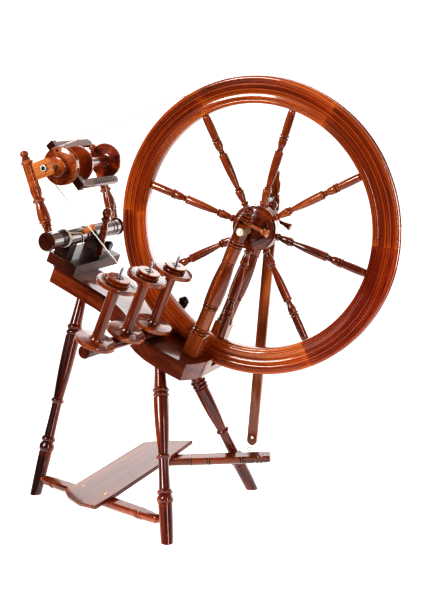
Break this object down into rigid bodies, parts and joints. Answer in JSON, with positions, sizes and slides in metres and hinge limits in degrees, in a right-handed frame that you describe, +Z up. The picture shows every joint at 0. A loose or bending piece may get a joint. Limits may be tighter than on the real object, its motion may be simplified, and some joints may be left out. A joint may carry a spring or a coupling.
{
  "type": "spinning wheel",
  "caption": "Treadle spinning wheel with a spoked drive wheel on a sloping three-legged bench, a tilting flyer assembly, a crank and footman, and spare bobbins on a rack.",
  "frame": {"origin": "on the floor, under the middle of the bounding box", "axes": "+Z up; +Y along the axle from the drive wheel towards the crank; +X in the drive wheel's plane, from the flyer's end of the bench towards the drive wheel"},
  "size_m": [0.76, 0.533, 0.84],
  "materials": {
    "stained_wood": "glossy varnish over a reddish-brown stain",
    "dark_wood": "glossy varnish over a dark stain",
    "pale_wood": "raw wood, matt",
    "steel": "bare steel",
    "cord": "twisted cotton",
    "leather": "natural, matt"
  },
  "bodies": {
    "stand": {"bench": "stained_wood", "leg_front_left": "stained_wood", "leg_front_right": "stained_wood", "leg_rear": "stained_wood", "wheel_upright_front": "stained_wood", "wheel_upright_rear": "stained_wood", "axle_bush_front": "leather", "axle_bush_rear": "leather", "axle_peg_front": "stained_wood", "axle_peg_rear": "stained_wood", "kate_rail": "stained_wood", "kate_rod_1": "steel", "kate_rod_2": "steel", "kate_rod_3": "steel", "storage_peg": "dark_wood", "tilt_hinge_pin": "steel", "drive_band": "cord"},
    "wheel": {"felloe_1": "stained_wood", "felloe_2": "stained_wood", "felloe_3": "stained_wood", "felloe_4": "stained_wood", "felloe_5": "stained_wood", "felloe_6": "stained_wood", "hub": "stained_wood", "spoke_1": "stained_wood", "spoke_2": "stained_wood", "spoke_3": "stained_wood", "spoke_4": "stained_wood", "spoke_5": "stained_wood", "spoke_6": "stained_wood", "spoke_7": "stained_wood", "spoke_8": "stained_wood", "axle_crank": "steel"},
    "treadle": {"treadle_rail": "stained_wood", "treadle_board": "stained_wood", "treadle_bar": "stained_wood", "footman_hook": "steel"},
    "footman": {"footman": "stained_wood", "footman_screw": "steel"},
    "mother_of_all": {"carrier_board": "stained_wood", "mother_of_all_bar": "stained_wood", "bar_saddle_front": "stained_wood", "bar_saddle_rear": "stained_wood", "maiden_front": "stained_wood", "maiden_rear": "stained_wood", "flyer_bearing_front": "pale_wood", "flyer_bearing_rear": "pale_wood", "brake_band": "cord"},
    "brake_peg": {"brake_peg": "pale_wood"},
    "tension_handle": {"tension_handle": "stained_wood"},
    "lock_knob": {"lock_knob": "dark_wood"},
    "flyer": {"flyer_shaft": "steel", "flyer_whorl": "stained_wood", "flyer_crossbar": "stained_wood", "flyer_arm_lower": "stained_wood", "flyer_arm_upper": "stained_wood"},
    "flyer_bobbin": {"flyer_bobbin": "stained_wood"},
    "kate_bobbin_1": {"kate_bobbin_1": "stained_wood"},
    "kate_bobbin_2": {"kate_bobbin_2": "stained_wood"},
    "kate_bobbin_3": {"kate_bobbin_3": "stained_wood"}
  },
  "joints": [
    {"name": "wheel_spin", "type": "hinge", "parent": "stand", "child": "wheel", "pos_m": [0.1003, 0.0535, 0.56], "axis": [0, 1, 0], "continuous": true},
    {"name": "treadle_rock", "type": "hinge", "parent": "stand", "child": "treadle", "pos_m": [-0.1652, -0.0905, 0.032], "axis": [0.9578, -0.2874, 0], "range_deg": [-14, 0]},
    {"name": "footman_swing", "type": "hinge", "parent": "treadle", "child": "footman", "pos_m": [0.05909, 0.1415, 0.11908], "axis": [0.9578, -0.2874, 0], "range_deg": [0, 14]},
    {"name": "mother_of_all_tilt", "type": "hinge", "parent": "stand", "child": "mother_of_all", "pos_m": [-0.34342, 0.0905, 0.4577], "axis": [0, 1, 0], "range_deg": [-6, 0], "deforming": ["drive_band"]},
    {"name": "brake_peg_turn", "type": "hinge", "parent": "mother_of_all", "child": "brake_peg", "pos_m": [-0.30418, 0.0875, 0.52257], "axis": [0.9002, 0, 0.4354], "continuous": true},
    {"name": "tension_handle_turn", "type": "hinge", "parent": "mother_of_all", "child": "tension_handle", "pos_m": [-0.30282, 0.1455, 0.44464], "axis": [0.2419, 0, 0.9703], "continuous": true},
    {"name": "lock_knob_turn", "type": "hinge", "parent": "mother_of_all", "child": "lock_knob", "pos_m": [-0.30748, 0.1775, 0.49355], "axis": [0.9205, 0, -0.3907], "continuous": true},
    {"name": "flyer_spin", "type": "hinge", "parent": "mother_of_all", "child": "flyer", "pos_m": [-0.32472, 0.0535, 0.66191], "axis": [0, 1, 0], "continuous": true},
    {"name": "bobbin_spin", "type": "hinge", "parent": "flyer", "child": "flyer_bobbin", "pos_m": [-0.32472, 0.1775, 0.66191], "axis": [0, 1, 0], "continuous": true},
    {"name": "kate_bobbin_1_spin", "type": "hinge", "parent": "stand", "child": "kate_bobbin_1", "pos_m": [-0.08329, -0.2295, 0.37829], "axis": [0.3907, 0, 0.9205], "continuous": true},
    {"name": "kate_bobbin_2_spin", "type": "hinge", "parent": "stand", "child": "kate_bobbin_2", "pos_m": [-0.07731, -0.1325, 0.37575], "axis": [0.3907, 0, 0.9205], "continuous": true},
    {"name": "kate_bobbin_3_spin", "type": "hinge", "parent": "stand", "child": "kate_bobbin_3", "pos_m": [-0.07132, -0.0395, 0.37321], "axis": [0.3907, 0, 0.9205], "continuous": true}
  ],
  "couplings": [
    {"joint": "flyer_spin", "follows": "wheel_spin", "ratio": 7.6667},
    {"joint": "footman_swing", "follows": "treadle_rock", "ratio": -1}
  ]
}
